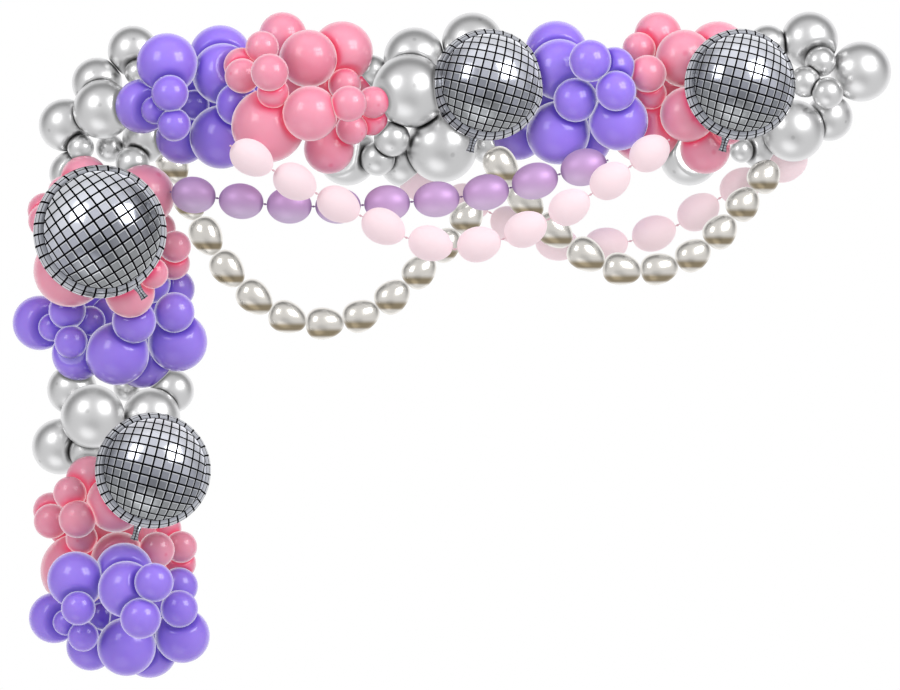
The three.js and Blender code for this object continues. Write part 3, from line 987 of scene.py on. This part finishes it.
def link_profile(long, thick, apart, pear, round_off):
    """(distance from the axis, place along it) of a link, from knot to knot."""
    body = -np.cos(np.linspace(0, math.pi, LINK_RINGS)) * long / 2
    share = np.clip(2 * body / long, -1, 1)
    radius = np.maximum(1 - share ** 2, 0) ** round_off * (1 - pear * share)
    radius *= thick / 2 / radius.max()
    radius = np.maximum(radius, TAIL_RADIUS)
    tail = (apart - long) / 2
    if tail < SHORT_TAIL:
        return np.maximum(radius, KNOT_RADIUS), body
    ends = np.array([apart / 2 + 0.0005, apart / 2 - 0.003, apart / 2 - 0.3 * tail - 0.001])
    end_radii = np.array([KNOT_RADIUS * 0.8, KNOT_RADIUS, TAIL_RADIUS])
    along = np.concatenate([-ends, body, ends[::-1]])
    return np.concatenate([end_radii, radius, end_radii[::-1]]), along


def link_template(name, long, thick, apart, pear, round_off):
    radius, along = link_profile(long, thick, apart, pear, round_off)
    turns = np.arange(LINK_SIDES) / LINK_SIDES * math.tau
    ring = np.stack([np.cos(turns), np.sin(turns)], axis=1)
    points = np.concatenate([np.column_stack([ring * r, np.full(LINK_SIDES, a)])
                             for r, a in zip(radius, along)])
    here = np.arange(LINK_SIDES)
    after = (here + 1) % LINK_SIDES
    faces = []
    for step in range(len(radius) - 1):
        a, b = step * LINK_SIDES, (step + 1) * LINK_SIDES
        faces += np.stack([a + here, a + after, b + after, b + here], axis=1).tolist()
    faces.append(here[::-1].tolist())
    faces.append(((len(radius) - 1) * LINK_SIDES + here).tolist())
    own = points / np.array([thick / 2, thick / 2, long / 2])
    return mesh_piece(name, points, faces, {"own": own}, [])


# %% The strand tree
def geometry_tree(name, inputs):
    group = bpy.data.node_groups.new(name, "GeometryNodeTree")
    group.interface.new_socket("Geometry", in_out="OUTPUT", socket_type="NodeSocketGeometry")
    for label, kind in inputs:
        group.interface.new_socket(label, in_out="INPUT", socket_type=kind)
    tree = Tree(group)
    given = group.nodes.new("NodeGroupInput")
    return tree, {label: Wire(given.outputs[label]) for label, _ in inputs}


def strand_tree():
    tree, given = geometry_tree("link_strand", [
        ("Chain", "NodeSocketGeometry"), ("Link", "NodeSocketObject"),
        ("Template Length", "NodeSocketFloat"), ("Unevenness", "NodeSocketFloat"),
        ("Seed", "NodeSocketInt"), ("Finish", "NodeSocketMaterial")])
    ends = tree.node("GeometryNodeInputMeshEdgeVertices").socket.node
    span = tree.node("ShaderNodeVectorMath", {"operation": "SUBTRACT"},
                     {0: Wire(ends.outputs["Position 2"]), 1: Wire(ends.outputs["Position 1"])})
    kept = tree.tree.nodes.new("GeometryNodeCaptureAttribute")
    kept.domain = "EDGE"
    kept.capture_items.new("VECTOR", "Span")
    plug(kept.inputs["Geometry"], given["Chain"])
    plug(kept.inputs["Span"], span)
    middles = tree.node("GeometryNodeMeshToPoints", {"mode": "EDGES"},
                        {"Mesh": Wire(kept.outputs["Geometry"])})
    kept_span = Wire(kept.outputs["Span"])
    aim = tree.node("FunctionNodeAlignRotationToVector", {"axis": "Z"}, {"Vector": kept_span})
    roll = tree.node("FunctionNodeRandomValue", {"data_type": "FLOAT"}, {
        "Min": 0.0, "Max": math.tau, "Seed": given["Seed"]}, output=1)
    spin = tree.node("FunctionNodeAxisAngleToRotation", sockets={"Axis": (0, 0, 1), "Angle": roll})
    rolled = tree.node("FunctionNodeRotateRotation", {"rotation_space": "LOCAL"}, {0: aim, 1: spin})
    length = tree.node("ShaderNodeVectorMath", {"operation": "LENGTH"}, {0: kept_span}, "Value")
    more = tree.node("FunctionNodeRandomValue", {"data_type": "FLOAT"}, {
        "Min": -1.0, "Max": 1.0, "Seed": given["Seed"] + 1}, output=1) * given["Unevenness"] + 1
    size = tree.node("ShaderNodeCombineXYZ", sockets={
        0: more, 1: more, 2: length / given["Template Length"]})
    template = tree.node("GeometryNodeObjectInfo", sockets={"Object": given["Link"]},
                         output="Geometry")
    placed = tree.node("GeometryNodeInstanceOnPoints", sockets={
        "Points": middles, "Instance": template, "Rotation": rolled, "Scale": size})
    numbered = tree.node("GeometryNodeStoreNamedAttribute", {
        "data_type": "FLOAT", "domain": "INSTANCE"}, {
        "Geometry": placed, "Name": "number", "Value": tree.node("GeometryNodeInputIndex")})
    real = tree.node("GeometryNodeRealizeInstances", sockets={"Geometry": numbered})
    finished = tree.node("GeometryNodeSetMaterial", sockets={
        "Geometry": real, "Material": given["Finish"]})
    tree.node("NodeGroupOutput", sockets={"Geometry": finished})
    return tree.tree


LINK_STRAND = strand_tree()


# %% Running a tree
def run_tree(group, name, piece, values):
    """The plain mesh that a geometry tree makes of a piece, with its inputs set by name."""
    modifier = piece.modifiers.new("tree", "NODES")
    modifier.node_group = group
    for item in group.interface.items_tree:
        if item.item_type == "SOCKET" and item.in_out == "INPUT" and item.name in values:
            modifier[item.identifier] = values[item.name]
    bpy.context.view_layer.update()
    evaluated = piece.evaluated_get(bpy.context.evaluated_depsgraph_get())
    mesh = bpy.data.meshes.new_from_object(evaluated)
    piece.modifiers.remove(modifier)
    made = bpy.data.objects.new(name, mesh)
    mesh.name = name
    bpy.context.scene.collection.objects.link(made)
    return made


def chain_of(name, knots):
    mesh = bpy.data.meshes.new(name)
    edges = [(i, i + 1) for i in range(len(knots) - 1)]
    mesh.from_pydata([tuple(k) for k in knots], edges, [])
    chain = bpy.data.objects.new(name, mesh)
    bpy.context.scene.collection.objects.link(chain)
    return chain


# %% [markdown]
# Where the end of a strand tucks in behind a bunch or lies over one, its links press on the
# balloons there, by the same planes as before. A link keeps each point on its own side of them.

# %% Pressing the links
def press_links(piece, members):
    """Pulls each link's points back to the planes it is pressed against, and marks how low each
    point lies on its link, for the finishes to read."""
    mesh = piece.data
    points = np.zeros(len(mesh.vertices) * 3)
    mesh.vertices.foreach_get("co", points)
    points = points.reshape(-1, 3)
    number = np.zeros(len(points), np.float32)
    mesh.attributes["number"].data.foreach_get("value", number)
    low = np.zeros(len(points), np.float32)
    for index, link in enumerate(members):
        mine = np.round(number) == index
        for normal, distance in link["planes"]:
            beyond = (points[mine] - link["centre"]) @ normal - distance
            points[mine] -= np.maximum(beyond, 0)[:, None] * normal
        low[mine] = (link["centre"] - points[mine])[:, 2] / (link["thick"] / 2)
    mesh.vertices.foreach_set("co", points.ravel())
    mesh.attributes.new("low", "FLOAT", "POINT").data.foreach_set("value", low)
    mesh.update()


# %% Link finishes
def along_link(tree):
    """How far a point is from a link's middle to either end, and how low it lies on the link."""
    own = own_attribute(tree, "own", "Vector")
    split = tree.node("ShaderNodeSeparateXYZ", sockets={0: own}).socket.node
    along = Wire(split.outputs[2])
    return along.math("ABSOLUTE", along), own_attribute(tree, "low", "Fac")


def pearl_finish():
    """Pearl lavender: a satin skin, deeper at its ends, with a painted pale sheen low down."""
    material, tree = new_finish("lavender_pearl")
    end, low = along_link(tree)
    # painted sheen: paler low down
    colour = tree.blend(tree.between(-0.10, 1.0, low), rgba("CBA6D5"), rgba("E2CEEB"))
    colour = tree.blend(tree.between(0.80, 1.02, end) * 0.9, colour, rgba("9472A4"))
    surface(tree, {
        "Base Color": colour, "Metallic": 0.35, "Roughness": 0.46,
        "Specular Tint": rgba("7A5890"), "Specular IOR Level": 0.3})
    return material


def pale_finish():
    """Pale matt pink: soft and even, with a deeper tone at the tails, a touch of painted shading
    low down, and a painted glow all over.
    """
    material, tree = new_finish("pale_pink_latex")
    end, low = along_link(tree)
    tail = tree.between(0.93, 1.05, end) * 0.8
    # painted shade: a touch darker low down
    colour = tree.blend(tree.between(-0.6, 0.8, low) * 0.5, rgba("CDB9BE"), rgba("C9B3B8"))
    colour = tree.blend(tail, colour, rgba("B9969F"))
    # painted glow: emission all over, deeper at the tails, lifts the pale pink out of its shade
    painted_glow = tree.blend(tail, rgba("F6E2E7"), rgba("B9969F"))
    surface(tree, {
        "Base Color": colour, "Roughness": 0.55, "Subsurface Weight": 0.4,
        "Subsurface Radius": (0.04, 0.03, 0.03), "Subsurface Scale": 0.6,
        "Specular IOR Level": 0.2, "Emission Color": painted_glow, "Emission Strength": 0.38})
    return material


def champagne_finish():
    """Champagne chrome latex, with a painted dark reflection band low down, and darker towards its
    tails.
    """
    material, tree = new_finish("champagne_chrome")
    end, low = along_link(tree)
    # painted reflection: a dark band low down stands in for the dim surroundings the chrome mirrors
    band = tree.between(0.20, 0.55, low) * tree.between(0.92, 0.72, low)
    colour = tree.blend(band, rgba("F0ECE5"), rgba("9C8E74"))
    colour = tree.blend(tree.between(0.88, 1.0, end) * 0.45, colour, rgba("8F8676"))
    surface(tree, {
        "Base Color": colour, "Metallic": 1.0, "Roughness": 0.27, "Coat Weight": 0.2,
        "Coat Roughness": 0.12})
    return material


FINISHES["lavender_pearl"] = pearl_finish()
FINISHES["pale_pink_latex"] = pale_finish()
FINISHES["champagne_chrome"] = champagne_finish()

# %% Make the strands
# how much of its span a link's body fills, how pear-shaped it is, and how its ends round off
LINK_SHAPES = {"champagne_chrome": (1.0, 0.16, 0.42), "lavender_pearl": (0.93, 0.0, 0.5),
               "pale_pink_latex": (0.9, 0.06, 0.5)}
UNEVENNESS = 0.02


def make_strand(name, finish, long, thick, count, pace, route, seed):
    members = [link for link in links if link["piece"] == name]
    apart = float(np.mean([link["apart"] for link in members]))
    filled, pear, round_off = LINK_SHAPES[finish]
    template = link_template(f"{name}_template", max(long, filled * apart), thick, apart, pear,
                             round_off)
    knots = [members[0]["start"]] + [link["end"] for link in members]
    chain = chain_of(f"{name}_chain", knots)
    piece = run_tree(LINK_STRAND, f"{name}_links", chain, {
        "Link": template, "Template Length": apart, "Unevenness": UNEVENNESS, "Seed": seed,
        "Finish": FINISHES[finish]})
    bpy.data.objects.remove(template)
    bpy.data.objects.remove(chain)
    press_links(piece, members)
    hand_over(piece, name, finish)
    print(f"{piece.name}: {len(members)} links, {len(piece.data.polygons)} faces")


for seed, strand in enumerate(STRANDS):
    make_strand(*strand, seed)
